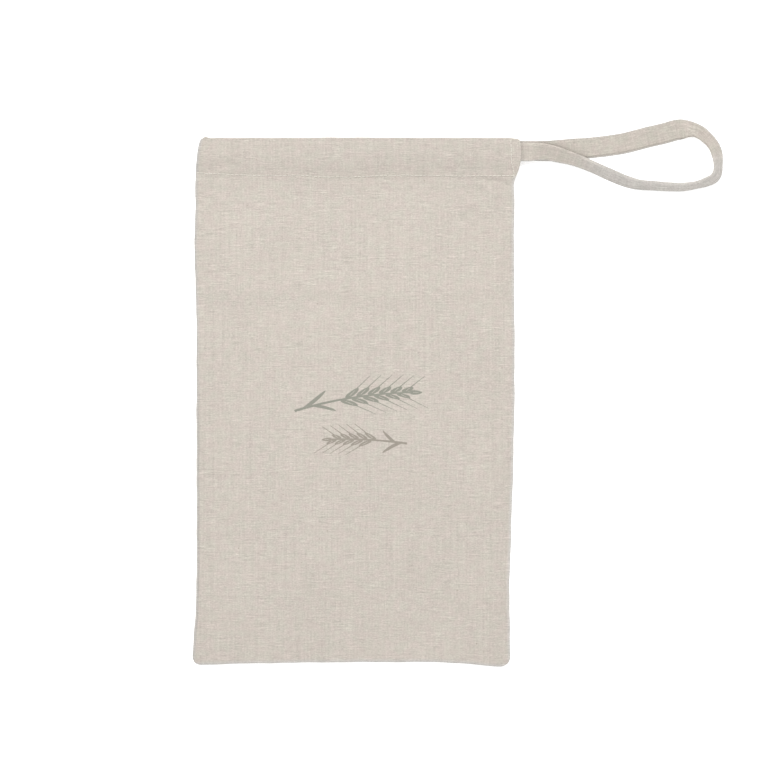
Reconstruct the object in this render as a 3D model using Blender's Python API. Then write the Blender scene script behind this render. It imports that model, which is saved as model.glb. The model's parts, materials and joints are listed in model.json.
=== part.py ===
"""Linen bread bag with a drawstring tape, lying empty and flat on its back.

Metres, +Z up. The bag rests on z = 0 with its printed face up, its mouth towards +Y and the loop of
its tape towards +X. The origin is the middle of the bag, on the surface that it lies on.

Two panels of linen are seamed down both sides and across the foot. Each panel's top is turned over to
the inside as a hem, which makes the casing. The tape runs in the front casing, round inside the left
end, back through the back casing, and out at the slit on the right, where its loop lies free.
"""

import math
from typing import NamedTuple

import bmesh
import bpy
import numpy as np

MM = 0.001

# Layers
CLOTH = 1.0 * MM
TAPE = 1.2 * MM
TAPE_WIDTH = 15.5 * MM
CLEARANCE = 0.3 * MM
MOUTH_GAP = 0.4 * MM
SEAM_LIFT = 0.45 * MM
BAG_AIR = 1.2 * MM
STITCHED_EASE = 0.1 * MM

# Heights of the stack of layers, from the surface to the top of the front panel
CASING_STACK = 4 * CLOTH + 2 * TAPE + 4 * CLEARANCE + MOUTH_GAP
STITCHED_STACK = 4 * CLOTH + 2 * CLEARANCE + MOUTH_GAP + STITCHED_EASE
BODY_STACK = 2 * CLOTH + BAG_AIR

# Lengthways places
TOP = 210.4 * MM
CASING_DEPTH = 30.0 * MM
TAPE_LINE = 199.5 * MM
SLIT_START = 171.0 * MM
SLIT_OPEN = 180.0 * MM

CORNER_RADIUS = 7.0 * MM

# The hem's middle lies this far from the seam, and the fold joins it to the outside
HEM_OFFSET = MOUTH_GAP / 2 + CLOTH / 2
FOLD_RADIUS = (CASING_STACK / 2 - CLOTH / 2 - HEM_OFFSET) / 2
FOLD_LINE = TOP - FOLD_RADIUS - CLOTH / 2
HEM_END = TOP - CASING_DEPTH

# The tape's turn from one casing to the other, inside the left end
TAPE_TURN_RADIUS = (CASING_STACK - 2 * CLOTH - 2 * CLEARANCE - TAPE) / 2
TAPE_STRAIGHT_END = 128.0 * MM

# How finely each round stretch is divided
EDGE_STEPS = 3
FOLD_STEPS = 5
TAPE_TURN_STEPS = 8
LOOP_STEPS = 3
SHARP_ANGLE = 40.0


class Side(NamedTuple):
    """The bag's left and right edges at one height up the bag."""

    y: float
    left: float
    right: float


class Foot(NamedTuple):
    """The foot's edge at one place across the bag."""

    x: float
    y: float


class Level(NamedTuple):
    """How high the stack of layers is at one height up the bag."""

    y: float
    stack: float


class Crease(NamedTuple):
    """A soft ridge, or a trough where its rise is below zero, in the front panel."""

    x: float
    y: float
    half_length: float
    half_width: float
    slant: float
    rise: float


class Bend(NamedTuple):
    """One place on the free loop: its middle, how far its inner edge is tipped up, and its lift."""

    x: float
    y: float
    tilt: float
    lift: float


SIDES = (
    Side(y=-212.0, left=-129.8, right=124.2),
    Side(y=-190.0, left=-129.1, right=124.0),
    Side(y=-160.0, left=-127.3, right=123.2),
    Side(y=-110.0, left=-126.4, right=124.4),
    Side(y=-60.0, left=-126.4, right=126.0),
    Side(y=0.0, left=-126.5, right=127.5),
    Side(y=80.0, left=-126.7, right=127.3),
    Side(y=115.0, left=-127.5, right=127.4),
    Side(y=160.0, left=-127.7, right=127.5),
    Side(y=175.0, left=-127.5, right=127.0),
    Side(y=184.0, left=-127.1, right=130.6),
    Side(y=192.0, left=-126.4, right=132.4),
    Side(y=201.0, left=-125.2, right=133.0),
    Side(y=211.0, left=-123.6, right=132.2),
)

FOOT = (
    Foot(x=-131.0, y=-211.0),
    Foot(x=-110.0, y=-210.4),
    Foot(x=-84.0, y=-209.2),
    Foot(x=-28.0, y=-208.2),
    Foot(x=70.0, y=-208.2),
    Foot(x=92.0, y=-209.5),
    Foot(x=112.0, y=-211.5),
    Foot(x=126.0, y=-211.6),
)

LEVELS = (
    Level(y=-212.0, stack=BODY_STACK / MM),
    Level(y=150.0, stack=BODY_STACK / MM),
    Level(y=165.0, stack=BODY_STACK / MM + 0.3),
    Level(y=175.0, stack=STITCHED_STACK / MM - 0.8),
    Level(y=HEM_END / MM, stack=STITCHED_STACK / MM),
    Level(y=186.0, stack=CASING_STACK / MM - 1.2),
    Level(y=190.5, stack=CASING_STACK / MM),
    Level(y=TOP / MM, stack=CASING_STACK / MM),
)

CREASES = (
    Crease(x=0.0, y=89.0, half_length=150.0, half_width=9.0, slant=0.5, rise=0.7),
    Crease(x=-20.0, y=73.0, half_length=110.0, half_width=8.0, slant=1.0, rise=-0.3),
    Crease(x=112.0, y=171.0, half_length=22.0, half_width=5.0, slant=8.0, rise=-0.7),
    Crease(x=104.0, y=163.0, half_length=30.0, half_width=6.0, slant=10.0, rise=0.6),
    Crease(x=-10.0, y=-30.0, half_length=90.0, half_width=60.0, slant=0.0, rise=0.5),
)

LOOP = (
    Bend(x=133.0, y=199.5, tilt=0.0, lift=5.5),
    Bend(x=139.0, y=199.5, tilt=3.0, lift=4.2),
    Bend(x=147.0, y=199.5, tilt=13.0, lift=2.6),
    Bend(x=155.0, y=199.2, tilt=26.0, lift=1.6),
    Bend(x=164.4, y=197.3, tilt=38.0, lift=0.5),
    Bend(x=176.4, y=193.2, tilt=47.0, lift=0.0),
    Bend(x=190.0, y=188.1, tilt=51.0, lift=0.0),
    Bend(x=206.0, y=180.3, tilt=57.0, lift=0.0),
    Bend(x=220.0, y=175.2, tilt=60.0, lift=0.0),
    Bend(x=238.0, y=172.1, tilt=64.0, lift=0.0),
    Bend(x=257.0, y=171.2, tilt=65.0, lift=0.0),
    Bend(x=271.0, y=172.5, tilt=66.0, lift=0.0),
    Bend(x=280.5, y=175.2, tilt=66.0, lift=0.0),
    Bend(x=287.2, y=179.7, tilt=66.0, lift=0.0),
    Bend(x=290.3, y=185.2, tilt=67.0, lift=0.0),
    Bend(x=290.9, y=191.2, tilt=67.0, lift=0.0),
    Bend(x=289.9, y=197.3, tilt=63.0, lift=0.0),
    Bend(x=287.3, y=203.2, tilt=58.0, lift=0.0),
    Bend(x=283.0, y=208.8, tilt=54.0, lift=0.0),
    Bend(x=277.2, y=213.8, tilt=52.0, lift=0.0),
    Bend(x=270.4, y=217.1, tilt=43.0, lift=0.0),
    Bend(x=262.3, y=217.3, tilt=25.0, lift=0.0),
    Bend(x=253.5, y=215.3, tilt=12.0, lift=0.0),
    Bend(x=242.1, y=212.3, tilt=8.0, lift=0.0),
    Bend(x=219.3, y=207.6, tilt=7.0, lift=0.0),
    Bend(x=196.4, y=204.0, tilt=4.0, lift=0.0),
    Bend(x=176.4, y=202.0, tilt=1.0, lift=0.0),
    Bend(x=158.0, y=200.6, tilt=0.0, lift=0.0),
    Bend(x=146.0, y=199.9, tilt=0.0, lift=0.2),
    Bend(x=139.0, y=199.6, tilt=0.0, lift=0.7),
    Bend(x=133.0, y=199.5, tilt=0.0, lift=1.3),
)


def table_slopes(place, value, level_off):
    """Slopes of a smooth curve at a table's rows; level_off keeps it from swinging past a row."""
    slope = np.gradient(value, place)
    if level_off:
        rise = np.diff(value) / np.diff(place)
        both = rise[:-1] * rise[1:]
        total = np.where(both > 0, rise[:-1] + rise[1:], 1.0)
        slope[1:-1] = np.where(both > 0, 2 * both / total, 0.0)
    return slope


def through(table, column, at, level_off=False):
    """A smooth curve through one column of a table, read at the given places along its first column."""
    values = np.array(table, dtype=float)
    place, value = values[:, 0], values[:, column]
    slope = table_slopes(place, value, level_off)
    at = np.asarray(at, dtype=float)
    row = np.clip(np.searchsorted(place, at) - 1, 0, len(place) - 2)
    gap = place[row + 1] - place[row]
    t = np.clip((at - place[row]) / gap, 0.0, 1.0)
    return (
        (1 + 2 * t) * (1 - t) ** 2 * value[row]
        + t * (1 - t) ** 2 * gap * slope[row]
        + t**2 * (3 - 2 * t) * value[row + 1]
        - t**2 * (1 - t) * gap * slope[row + 1]
    )


def smooth_step(start, end, at):
    """0 before start, 1 after end, and a smooth rise between them."""
    t = np.clip((at - start) / (end - start), 0.0, 1.0)
    return t * t * (3 - 2 * t)


def stack_at(y):
    """Height of the stack of layers, in metres, at y."""
    return through(LEVELS, 1, y / MM, level_off=True) * MM


def relief(x, y):
    """How far the front panel's creases lift it at a point, in metres."""
    rise = 0.0
    for crease in CREASES:
        slant = math.radians(crease.slant)
        dx = x / MM - crease.x
        dy = y / MM - crease.y
        along = (dx * math.cos(slant) + dy * math.sin(slant)) / crease.half_length
        across = (dy * math.cos(slant) - dx * math.sin(slant)) / crease.half_width
        rise += crease.rise * math.exp(-(along**4) - across**2)
    return rise * MM


def add_material(name, colour, roughness):
    """A plain Principled material."""
    material = bpy.data.materials.new(name)
    material.use_nodes = True
    shader = material.node_tree.nodes["Principled BSDF"]
    shader.inputs["Base Color"].default_value = (*colour, 1.0)
    shader.inputs["Roughness"].default_value = roughness
    shader.inputs["Metallic"].default_value = 0.0
    return material


def add_object(name, vertices, faces, material):
    """A mesh object with its faces pointing out of it."""
    mesh = bpy.data.meshes.new(name)
    mesh.from_pydata([tuple(v) for v in vertices], [], faces)
    work = bmesh.new()
    work.from_mesh(mesh)
    bmesh.ops.recalc_face_normals(work, faces=work.faces)
    work.to_mesh(mesh)
    work.free()
    mesh.shade_smooth()
    mesh.set_sharp_from_angle(angle=math.radians(SHARP_ANGLE))
    mesh.materials.append(material)
    obj = bpy.data.objects.new(name, mesh)
    bpy.context.scene.collection.objects.link(obj)
    return obj


# Panels
# ------
# A panel's middle surface is a grid. Its columns run up the bag, and its rows run across it: up the
# hem on the inside, over the fold at the top, and down the outside to the foot. The insets of the
# first columns and last rows are measured from the bag's edge.

FLAT_INSETS = np.array([0.0, 1.3, 2.6, 4.0]) * MM
INNER_INSETS = np.array([7.0, 13.0]) * MM
MIDDLE_COLUMNS = np.linspace(0.1, 0.9, 9)
HEM_ROWS = (HEM_END / MM, 185.5, 191.0, FOLD_LINE / MM)
CASING_ROWS = (FOLD_LINE / MM, 199.5, 191.0, 187.5, 184.0, HEM_END / MM)
BELOW_CASING_ROWS = (177.5, 174.5, 171.0, 165.0, 152.0, 130.0, 110.0)
CREASED_ROWS = (98.0, 89.0, 80.0, 68.0, 50.0)
LOWER_ROWS = (22.0, -8.0, -38.0, -68.0, -98.0, -128.0, -158.0, -182.0)


def edges_at(y):
    """Places of the left and right edges, in metres, at y."""
    return (float(through(SIDES, column, y / MM)) * MM for column in (1, 2))


def edge_turn(radius):
    """Insets of a sheet's middle as it turns a quarter circle up from the seam, and its heights.

    The heights are shares of the radius, and the lowest one keeps the two panels apart.
    """
    angles = np.linspace(0.0, math.pi / 2, EDGE_STEPS + 1)
    lowest = SEAM_LIFT / radius
    return CLOTH / 2 + radius * (1 - np.cos(angles)), lowest + (1 - lowest) * np.sin(angles)


def round_corner(side, foot):
    """Moves a point near a corner of the foot onto its round contour. Both insets, in metres."""
    near, far = min(side, foot), max(side, foot)
    if far >= CORNER_RADIUS:
        return side, foot
    reach = CORNER_RADIUS - near
    angle = math.pi / 4 * (CORNER_RADIUS - far) / reach
    near = CORNER_RADIUS - reach * math.cos(angle)
    far = CORNER_RADIUS - reach * math.sin(angle)
    return (near, far) if side <= foot else (far, near)


def column_places(left_insets, right_insets, left, right):
    """Places across the bag of every column, from the left edge to the right one."""
    left_block = left + np.concatenate([left_insets, INNER_INSETS])
    right_block = right - np.concatenate([right_insets, INNER_INSETS])[::-1]
    middle = left + (right - left) * MIDDLE_COLUMNS
    return np.concatenate([left_block, middle, right_block])


def hem_row(y):
    """One row of the hem, which ends on the left at the middle of the tape's turn."""
    _, right = edges_at(y)
    across = column_places(FLAT_INSETS, FLAT_INSETS, tape_turn_x(), right)
    return [(x, y, HEM_OFFSET, 0.0) for x in across]


def outer_row(y):
    """One row of the outside: x, y, height from the seam, and how far it has turned up from it."""
    radius = float(stack_at(y)) / 2 - CLOTH / 2
    insets, turned = edge_turn(radius)
    left, right = edges_at(y)
    slit = float(smooth_step(SLIT_START, SLIT_OPEN, y))
    right_insets = (1 - slit) * insets + slit * FLAT_INSETS
    right_turned = (1 - slit) * turned + slit
    across = column_places(insets, right_insets, left, right)
    between = np.ones(len(across) - 2 * len(turned))
    share = np.concatenate([turned, between, right_turned[::-1]])
    return [(x, y, radius * part, part) for x, part in zip(across, share)]


def foot_row(foot_inset):
    """One row near the foot, at an inset from its edge, with the two corners rounded."""
    radius = BODY_STACK / 2 - CLOTH / 2
    insets, turned = edge_turn(radius)
    left, right = edges_at(FOOT[0].y * MM)
    points = []
    for place in column_places(insets, insets, left, right):
        edge, inward = (left, 1) if place < 0 else (right, -1)
        side_inset = abs(place - edge)
        part = float(np.interp(min(side_inset, foot_inset), insets, turned))
        side_inset, inset = round_corner(side_inset, foot_inset)
        x = edge + inward * side_inset
        y = float(through(FOOT, 1, x / MM)) * MM + inset
        points.append((x, y, radius * part, part))
    return points


def fold_rows(outer, hem):
    """The rows between the last hem row and the first outer row, round the fold at the top."""
    rows = []
    for step in range(1, FOLD_STEPS):
        angle = math.pi * (1 - step / FOLD_STEPS)
        row = []
        for outside, inside in zip(outer, hem):
            outside, inside = np.array(outside[:3]), np.array(inside[:3])
            point = (outside + inside) / 2 + (outside - inside) / 2 * math.cos(angle)
            point[1] += FOLD_RADIUS * math.sin(angle)
            row.append((*point, 0.0))
        rows.append(row)
    return rows


def panel_rows():
    """Every row of a panel, with heights measured from the seam."""
    hem = [hem_row(y * MM) for y in HEM_ROWS]
    outside = CASING_ROWS + BELOW_CASING_ROWS + CREASED_ROWS + LOWER_ROWS
    outer = [outer_row(y * MM) for y in outside]
    insets, _ = edge_turn(BODY_STACK / 2 - CLOTH / 2)
    foot = [foot_row(inset) for inset in np.concatenate([insets, INNER_INSETS])[::-1]]
    return hem + fold_rows(outer[0], hem[-1]) + outer + foot


def add_panel(name, facing, material):
    """One panel. facing is 1 for the front, which lies above the seam, and -1 for the back."""
    rows = panel_rows()
    columns = len(rows[0])
    vertices = []
    for row in rows:
        for x, y, offset, part in row:
            seam = float(stack_at(y)) / 2
            crease = relief(x, y) * part if facing > 0 else 0.0
            vertices.append((x, y, seam + facing * offset + crease))
    faces = []
    for row in range(len(rows) - 1):
        for column in range(columns - 1):
            corner = row * columns + column
            faces.append((corner, corner + 1, corner + columns + 1, corner + columns))
    panel = add_object(name, vertices, faces, material)
    sheet = panel.modifiers.new("Cloth", "SOLIDIFY")
    sheet.thickness = CLOTH
    sheet.offset = 0.0
    return panel


# Tape
# ----
# A flat tape, swept along its line. Each section is its middle, the direction of its width and the
# direction that its upper face looks in.

UP = np.array([0.0, 0.0, 1.0])


def tape_turn_x():
    """Where the tape's turn has its middle, inside the casing's left end."""
    left, _ = edges_at(TAPE_LINE + TAPE_WIDTH / 2)
    return left + CASING_STACK / 2


def loop_sections():
    """Sections of the free loop, going out on the front run and coming home on the back one."""
    table = np.array(LOOP, dtype=float)
    steps = np.hypot(*np.diff(table[:, :2], axis=0).T)
    along = np.concatenate([[0.0], np.cumsum(steps)])
    route = np.column_stack([along, table])
    places = np.interp(
        np.arange(LOOP_STEPS * len(steps) + 1) / LOOP_STEPS, np.arange(len(along)), along
    )
    x, y, tilt, lift = (through(route, column, places) for column in range(1, 5))
    heading = np.unwrap(np.arctan2(np.gradient(y), np.gradient(x)))
    heading[0], heading[-1] = 0.0, math.pi
    sections = []
    for px, py, angle, raised, turn in zip(x, y, np.radians(tilt), lift, heading):
        on_edge = TAPE_WIDTH / 2 * math.sin(angle) + TAPE / 2 * math.cos(angle)
        middle = np.array([px * MM, py * MM, max(on_edge, TAPE / 2) + max(raised, 0.0) * MM])
        inward = np.array([-math.sin(turn), math.cos(turn), 0.0])
        width = inward * math.cos(angle) + UP * math.sin(angle)
        face = UP * math.cos(angle) - inward * math.sin(angle)
        sections.append((middle, width, face))
    return sections


def casing_sections():
    """Sections along the back casing, round inside its left end, and back along the front one."""
    middle_height = CASING_STACK / 2
    width = np.array([0.0, -1.0, 0.0])
    turn_middle = np.array([tape_turn_x(), TAPE_LINE, middle_height])
    back_end = np.array([TAPE_STRAIGHT_END, TAPE_LINE, middle_height - TAPE_TURN_RADIUS])
    front_end = np.array([TAPE_STRAIGHT_END, TAPE_LINE, middle_height + TAPE_TURN_RADIUS])
    sections = [(back_end, width, UP)]
    for angle in np.linspace(0.0, math.pi, TAPE_TURN_STEPS + 1):
        inward = np.array([math.sin(angle), 0.0, math.cos(angle)])
        sections.append((turn_middle - TAPE_TURN_RADIUS * inward, width, inward))
    sections.append((front_end, width, -UP))
    return sections


def add_tape(name, material):
    """The drawstring tape: one ring, joined with half a turn, so one face shows all round the loop."""
    sections = loop_sections() + casing_sections()
    vertices = []
    for middle, width, face in sections:
        across, through_it = width * TAPE_WIDTH / 2, face * TAPE / 2
        vertices.append(middle - across - through_it)
        vertices.append(middle + across - through_it)
        vertices.append(middle + across + through_it)
        vertices.append(middle - across + through_it)
    faces = []
    for index in range(len(sections)):
        last = index == len(sections) - 1
        start = 4 * index
        end = 0 if last else start + 4
        half_turn = 2 if last else 0
        for corner in range(4):
            beyond = (corner + 1) % 4
            near = (start + corner, start + beyond)
            far = (end + (beyond + half_turn) % 4, end + (corner + half_turn) % 4)
            faces.append(near + far)
    return add_object(name, vertices, faces, material)


def main():
    """Clears the scene and builds the bag."""
    for obj in list(bpy.data.objects):
        bpy.data.objects.remove(obj)
    linen = add_material("linen", (0.66, 0.61, 0.54), 0.9)
    back_linen = add_material("back linen", (0.65, 0.60, 0.53), 0.9)
    tape_linen = add_material("tape linen", (0.62, 0.57, 0.50), 0.85)
    add_panel("front_panel", 1, linen)
    add_panel("back_panel", -1, back_linen)
    add_tape("drawstring_tape", tape_linen)


main()
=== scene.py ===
"""Looks of a linen drawstring bread bag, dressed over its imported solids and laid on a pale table.

The file is laid out as an add-on: a size or a colour is a property, each piece has its operator, and a
panel in the sidebar lists them. Shapes are worked out in millimetres and become metres in their mesh.
"""

import json
import math
from typing import NamedTuple

import bmesh
import bpy
import numpy as np
from bpy.props import FloatProperty, FloatVectorProperty, IntProperty, PointerProperty
from bpy.types import Operator, Panel, PropertyGroup
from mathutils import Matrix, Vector

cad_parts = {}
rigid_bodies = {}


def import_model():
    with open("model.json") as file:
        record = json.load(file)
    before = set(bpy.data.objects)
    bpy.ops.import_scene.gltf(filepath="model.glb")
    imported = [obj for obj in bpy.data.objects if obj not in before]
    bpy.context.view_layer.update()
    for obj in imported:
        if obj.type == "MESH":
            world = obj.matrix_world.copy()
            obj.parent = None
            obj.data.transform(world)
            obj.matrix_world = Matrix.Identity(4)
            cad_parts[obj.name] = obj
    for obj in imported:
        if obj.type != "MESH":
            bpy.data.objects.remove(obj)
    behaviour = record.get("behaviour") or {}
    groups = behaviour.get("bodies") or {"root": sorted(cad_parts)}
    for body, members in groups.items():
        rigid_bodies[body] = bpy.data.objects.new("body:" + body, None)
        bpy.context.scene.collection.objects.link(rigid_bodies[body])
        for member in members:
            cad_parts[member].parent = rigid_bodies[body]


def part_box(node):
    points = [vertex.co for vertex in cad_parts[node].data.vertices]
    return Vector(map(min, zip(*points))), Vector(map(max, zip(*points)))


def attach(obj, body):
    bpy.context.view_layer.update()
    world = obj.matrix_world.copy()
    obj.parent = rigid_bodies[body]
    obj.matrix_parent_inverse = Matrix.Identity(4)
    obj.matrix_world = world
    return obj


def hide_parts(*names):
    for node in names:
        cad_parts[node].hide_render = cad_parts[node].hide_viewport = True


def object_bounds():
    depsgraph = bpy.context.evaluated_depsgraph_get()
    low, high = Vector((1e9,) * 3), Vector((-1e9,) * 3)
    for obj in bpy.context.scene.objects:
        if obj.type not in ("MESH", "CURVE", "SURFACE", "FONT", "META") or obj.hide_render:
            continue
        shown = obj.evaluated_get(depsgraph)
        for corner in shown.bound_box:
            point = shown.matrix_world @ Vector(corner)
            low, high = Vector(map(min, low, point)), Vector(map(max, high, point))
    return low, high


for left_over in list(bpy.data.objects):
    bpy.data.objects.remove(left_over)

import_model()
CAD_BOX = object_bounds()

bl_info = {
    "name": "Linen bread bag",
    "version": (1, 0, 0),
    "blender": (4, 5, 0),
    "location": "3D View > Sidebar > Bread bag",
    "description": "A linen drawstring bread bag with its stitching, print and plain studio",
    "category": "Object",
}

MM = 0.001
BODY = "root"

# Heights of the layers, and places up the bag, as its solids have them
TOP = round(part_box("front_panel")[1].y / MM, 1)
CASING_STACK = 8.0
STITCHED_STACK = 5.1
BODY_STACK = 3.2
CASING_DEPTH = 30.0
HEM_END = TOP - CASING_DEPTH
TAPE_LINE = 199.5
MOUTH_LINE = 209.5
CORNER_RADIUS = 7.0
MOUTH_GAP = 0.4
TAPE_TURN_RADIUS = 2.1
TAPE_STRAIGHT_END = 128.0
SOLID_TAPE_WIDTH = 15.5

# Stretches up the bag, from where each starts to where it is complete
BODY_END = (160.0, 176.0)
CASING_START = (184.0, 191.0)
SLIT = (171.0, 180.0)
SLIT_TURNING = (180.0, 192.0)
SLIT_ROW = (177.0, 195.0)


# The bag's shape


def table(columns, *rows):
    """A table of sizes: its columns' names, then its rows."""
    return np.array(list(rows), dtype=[(column, float) for column in columns.split()])


# The bag's left and right edges, going up it
SIDES = table(
    "y left right",
    (-212, -130.2, 125),
    (-190, -128.8, 124.5),
    (-160, -127, 124),
    (-110, -126.4, 125.2),
    (-60, -126.5, 126.8),
    (0, -126.6, 128.1),
    (60, -126.5, 128.1),
    (85, -127, 127.9),
    (106, -127.9, 127.6),
    (135, -128, 127.8),
    (160, -127.4, 128.1),
    (175, -127.4, 127.8),
    (184, -127.1, 131),
    (192, -126.6, 132.9),
    (200, -125.7, 133.4),
    (206, -124.2, 133),
    (211, -122.4, 132.6),
)

# The foot's edge, going across the bag
FOOT = table(
    "x y",
    (-131, -211.2), (-110, -210.8), (-84, -210), (-50, -209.5), (-20, -209.1),
    (20, -208.9), (66, -209.1), (86, -209.9), (98, -211), (107, -212.2),
    (115, -212.7), (126, -211.2),
)

# Where the casing's row of stitches runs, going across the bag
CASING_ROW = table(
    "x y",
    (-128, 182.3), (-115, 181.8), (-99, 181), (-85, 180.4), (-43, 180.4),
    (-27, 179.1), (-5, 178.9), (8, 179.6), (37, 180.4), (61, 180.4),
    (72, 179.8), (101, 179.9), (130, 180.3),
)

# The height of the stack of layers, going up the bag
LEVELS = table(
    "y stack",
    (-212, BODY_STACK),
    (145, BODY_STACK),
    (163, BODY_STACK + 0.3),
    (174, STITCHED_STACK - 0.8),
    (HEM_END, STITCHED_STACK + 0.2),
    (184, STITCHED_STACK + 0.9),
    (188, CASING_STACK - 1.1),
    (192, CASING_STACK - 0.5),
    (199, CASING_STACK),
    (TOP, CASING_STACK),
)

# Soft ridges, and troughs where the rise is below zero: first those that the solids have
FRONT_CREASES = table(
    "x y half_length half_width slant rise",
    (0, 89, 150, 8, 0.5, 0.62),
    (-20, 73, 110, 8, 1, -0.3),
    (112, 171, 22, 5, 8, -0.7),
    (104, 163, 30, 6, 10, 0.6),
    (-10, -30, 90, 60, 0, 0.5),
    (90, 176.9, 6, 1.7, 0, -0.4),
    (104, 176.6, 8, 1.4, -3, -0.5),
    (115, 175.4, 7, 1.7, -14, -0.55),
    (122.5, 172.4, 6, 1.4, -38, -0.6),
    (101, 172.6, 22, 2.6, -6, 0.3),
    (-104, 188, 11, 2.8, 6, -0.6),
    (-112, 195.5, 9, 3.6, 24, 0.3),
    (-50, 190, 10, 3.2, 20, -0.25),
    (84, 187.5, 52, 5, 0, -0.3),
    (-112, 178.4, 11, 1.6, -6, -0.3),
    (40, 177.2, 50, 1.8, 1, -0.22),
    (-90, 150, 36, 9, 8, -0.3),
    (110, 146, 22, 6, -8, -0.3),
    (-60, 140, 60, 7, 3, 0.18),
    (60, 30, 46, 8, -12, 0.14),
    (-84, -70, 52, 7, 74, -0.14),
    (84, -120, 48, 8, 102, 0.16),
    (20, -160, 70, 9, 4, -0.15),
)

BACK_CREASES = table(
    "x y half_length half_width slant rise",
    (10, 60, 120, 9, -1, 0.2),
    (-40, -90, 80, 10, 8, 0.15),
)

# The free loop: its middle, its outer part's tilt, its lift, and the angle that the tape is folded down by
# along a crease. The crease's place runs from -1 at the outer edge to 1 at the inner one. What would
# reach past the outer edge is tucked back underneath.
LOOP = table(
    "x y tilt lift fold crease",
    (133, 199.2, 0, 4, 85, 0.695),
    (136, 199.2, 1, 3, 85, 0.695),
    (140, 199.2, 3, 2.5, 88, 0.69),
    (147, 199.3, 6, 2.6, 118, 0.58),
    (155, 198.7, 9, 2.1, 156, 0.535),
    (164.2, 196.6, 19, 1.7, 173, 0.44),
    (176.2, 193, 19, 1.5, 176, 0.205),
    (190.8, 187.3, 23, 0.6, 181, 0.13),
    (204.5, 181.2, 23, 0, 181, 0.18),
    (218.4, 175.6, 28, 0, 182, 0.155),
    (228.2, 173.1, 22, 0, 181, -0.015),
    (238.2, 172.4, 19, 0, 181, -0.075),
    (253.2, 171.4, 20, 0, 181, -0.135),
    (263.2, 171.4, 19, 0, 181, -0.17),
    (273.1, 172.9, 23, 0, 182, -0.25),
    (282.8, 175.8, 22, 0, 182, -0.08),
    (287.9, 178.5, 19, 0, 181, -0.04),
    (290.4, 182.8, 19, 0, 181, -0.065),
    (291, 188, 20, 0, 181, -0.1),
    (290.8, 193, 20, 0, 180, -0.005),
    (290, 198.3, 17, 0, 178, 0.115),
    (288.3, 203, 12, 0, 176, 0.095),
    (285.5, 207.2, 8, 0, 174, 0.11),
    (281.9, 210.8, 5, 0, 172, 0.145),
    (278, 214.1, 3, 0, 168, 0.23),
    (273.4, 216.5, 2, 0, 162, 0.315),
    (268.5, 217.5, 1, 0, 145, 0.52),
    (263.5, 217.7, 0, 0, 90, 0.76),
    (258.5, 217.2, 0, 0, 20, 0.92),
    (248.9, 214.6, 0, 0, 0, 0.9),
    (234.3, 211.2, 0, 0, 0, 0.9),
    (214.7, 206.3, 0, 0, 0, 0.9),
    (195, 203.5, 0, 0, 0, 0.9),
    (184, 202.5, 0, 0, 0, 0.9),
    (176, 202.1, 0, 0, 0, 0.9),
    (166, 201.2, 0, 0, 0, 0.9),
    (156, 200.4, 0, 0.1, 45, 0.86),
    (147, 200.3, 0, 0.2, 80, 0.82),
    (140, 200.3, 0, 0.3, 85, 0.82),
    (133, 200.3, 0, 0.5, 85, 0.82),
)


def through(places, values, at, level_off=False):
    """A smooth curve through a table's values. level_off keeps it from swinging past a row."""
    slope = np.gradient(values, places)
    if level_off:
        rise = np.diff(values) / np.diff(places)
        both = rise[:-1] * rise[1:]
        total = np.where(both > 0, rise[:-1] + rise[1:], 1.0)
        slope[1:-1] = np.where(both > 0, 2 * both / total, 0.0)
    row = np.clip(np.searchsorted(places, at) - 1, 0, len(places) - 2)
    gap = places[row + 1] - places[row]
    t = np.clip((at - places[row]) / gap, 0.0, 1.0)
    return (
        (1 + 2 * t) * (1 - t) ** 2 * values[row]
        + t * (1 - t) ** 2 * gap * slope[row]
        + t**2 * (3 - 2 * t) * values[row + 1]
        - t**2 * (1 - t) * gap * slope[row + 1]
    )


def ramp(start, end, at):
    """0 before start, 1 after end, and a smooth rise between them."""
    t = np.clip((at - start) / (end - start), 0.0, 1.0)
    return t * t * (3 - 2 * t)


def plateau(start, full, fading, end, at):
    """1 from full to fading, with a smooth rise from start and a smooth fall to the end."""
    return ramp(start, full, at) * (1 - ramp(fading, end, at))


def bell(middle, half_width, at):
    """1 at the middle, falling to a third one half-width away."""
    return np.exp(-(((at - middle) / half_width) ** 2))


def mix(a, b, share):
    """a where share is 0 and b where it is 1."""
    return a + (b - a) * share


def together(*parts):
    """Arrays side by side along a last axis, each spread to the same shape."""
    return np.stack(np.broadcast_arrays(*parts), axis=-1)


def distances(points, axis=0):
    """How far along its line each point lies, where the lines run along an axis."""
    steps = np.linalg.norm(np.diff(points, axis=axis), axis=-1)
    return np.insert(np.cumsum(steps, axis=axis), 0, 0.0, axis=axis)


def unit(ways):
    """Directions of length 1."""
    return ways / np.linalg.norm(ways, axis=1)[:, None]


def stack_at(y):
    """Height of the stack of layers at y."""
    return through(LEVELS["y"], LEVELS["stack"], y, level_off=True)


def edges_at(y):
    """The left and right edges at y, with the slight unevenness of a sewn edge."""
    left = through(SIDES["y"], SIDES["left"], y) + 0.14 * np.sin(y / 7.3) + 0.10 * np.sin(y / 3.1 + 1.0)
    right = through(SIDES["y"], SIDES["right"], y) + 0.14 * np.sin(y / 8.9 + 2.0) + 0.10 * np.sin(y / 3.7)
    return left, right


def foot_at(x):
    """The foot's edge at x, as uneven as the sides."""
    return through(FOOT["x"], FOOT["y"], x) + 0.14 * np.sin(x / 8.1 + 0.6) + 0.08 * np.sin(x / 3.3)


def row_at(x):
    """How far up the bag the casing's row of stitches runs at x."""
    return through(CASING_ROW["x"], CASING_ROW["y"], x, level_off=True) + 0.10 * np.sin(x / 2.9)


def slit_row_x(y):
    """Where the row of stitches runs that holds the slit's turned edge."""
    return edges_at(y)[1] - mix(1.4, 8.0, ramp(*SLIT_ROW, y))


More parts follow.
